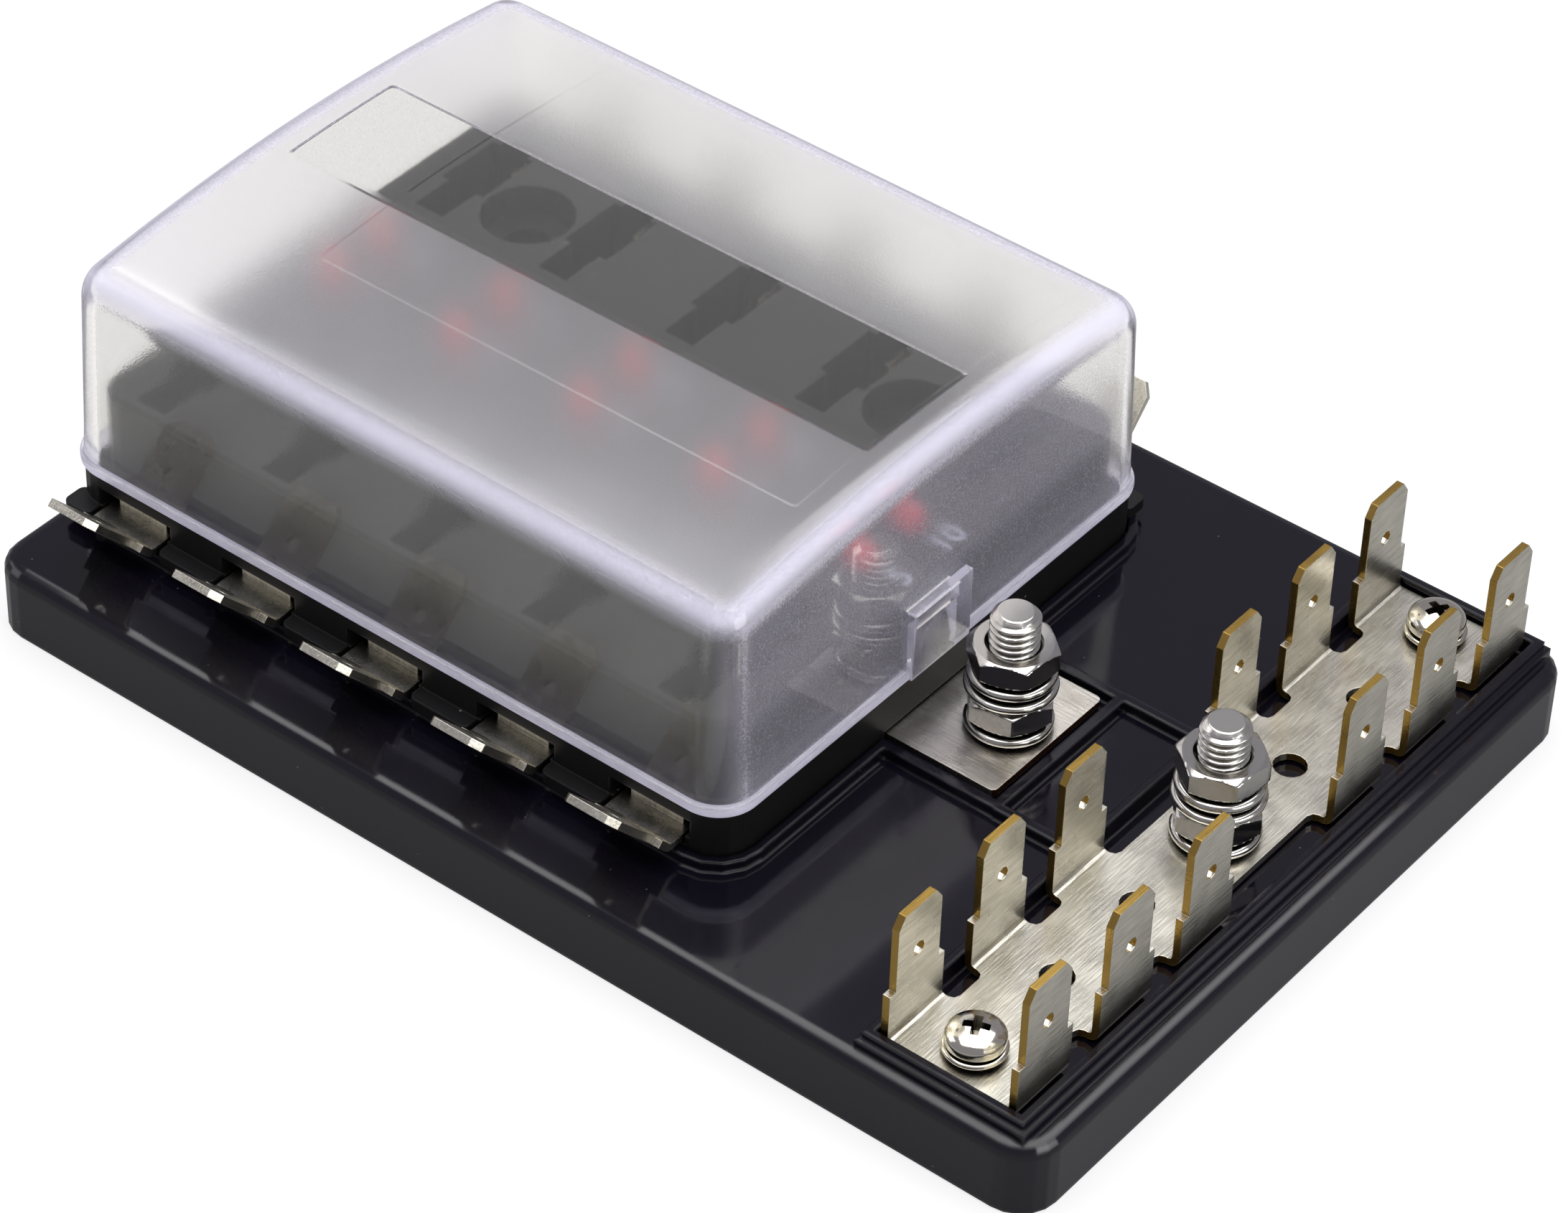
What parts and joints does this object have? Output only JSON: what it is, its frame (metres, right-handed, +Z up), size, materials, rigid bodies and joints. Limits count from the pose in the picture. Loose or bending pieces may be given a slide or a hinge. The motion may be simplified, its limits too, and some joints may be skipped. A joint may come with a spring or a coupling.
{
  "type": "blade fuse block",
  "caption": "Black blade fuse block with a frosted lift-off cover, rows of fuse sockets and side tabs, an input stud and a tabbed ground bar on one tray.",
  "frame": {"origin": "centre of the base tray's footprint, on the surface it stands on", "axes": "+X along the base towards the ground bar, +Y across the base, +Z up, the way the cover lifts off"},
  "size_m": [0.1282, 0.089, 0.0396],
  "materials": {
    "gloss_black": "glossy moulded ABS",
    "satin_black": "satin moulded nylon",
    "frosted_cover": "clear polycarbonate, frosted inside",
    "tinned_copper": "tin plated, satin",
    "tinned_brass": "tin plated with bare sheared edges",
    "stainless_steel": "bright machined",
    "nickel_steel": "nickel plated",
    "zinc_steel": "zinc plated",
    "red_epoxy": "tinted clear epoxy",
    "resistor_lacquer": "lacquered"
  },
  "bodies": {
    "block": {"base_plate": "gloss_black", "fuse_housing": "satin_black", "input_busbar": "tinned_copper", "ground_busbar": "tinned_brass", "input_stud": "stainless_steel", "input_nut_lower": "stainless_steel", "input_nut_upper": "stainless_steel", "input_lock_washer_lower": "stainless_steel", "input_lock_washer_upper": "stainless_steel", "input_flat_washer": "stainless_steel", "ground_stud": "stainless_steel", "ground_nut_lower": "stainless_steel", "ground_nut_upper": "stainless_steel", "ground_lock_washer_lower": "stainless_steel", "ground_lock_washer_upper": "stainless_steel", "ground_flat_washer": "stainless_steel", "ground_screw_1": "nickel_steel", "ground_screw_washer_1": "nickel_steel", "ground_screw_2": "nickel_steel", "ground_screw_washer_2": "nickel_steel", "terminal_01": "tinned_brass", "terminal_02": "tinned_brass", "terminal_03": "tinned_brass", "terminal_04": "tinned_brass", "terminal_05": "tinned_brass", "terminal_06": "tinned_brass", "terminal_07": "tinned_brass", "terminal_08": "tinned_brass", "terminal_09": "tinned_brass", "terminal_10": "tinned_brass", "led_01": "red_epoxy", "led_02": "red_epoxy", "led_03": "red_epoxy", "led_04": "red_epoxy", "led_05": "red_epoxy", "led_06": "red_epoxy", "led_07": "red_epoxy", "led_08": "red_epoxy", "led_09": "red_epoxy", "led_10": "red_epoxy", "resistor_01": "resistor_lacquer", "resistor_02": "resistor_lacquer", "resistor_03": "resistor_lacquer", "resistor_04": "resistor_lacquer", "resistor_05": "resistor_lacquer", "resistor_06": "resistor_lacquer", "resistor_07": "resistor_lacquer", "resistor_08": "resistor_lacquer", "resistor_09": "resistor_lacquer", "resistor_10": "resistor_lacquer", "housing_screw_1": "zinc_steel", "housing_screw_2": "zinc_steel", "housing_screw_3": "zinc_steel", "housing_screw_4": "zinc_steel"},
    "cover": {"clear_cover": "frosted_cover"}
  },
  "joints": [
    {"name": "cover_lift", "type": "slide", "parent": "block", "child": "cover", "axis": [0, 0, 1], "range_m": [0, 0.03]}
  ]
}
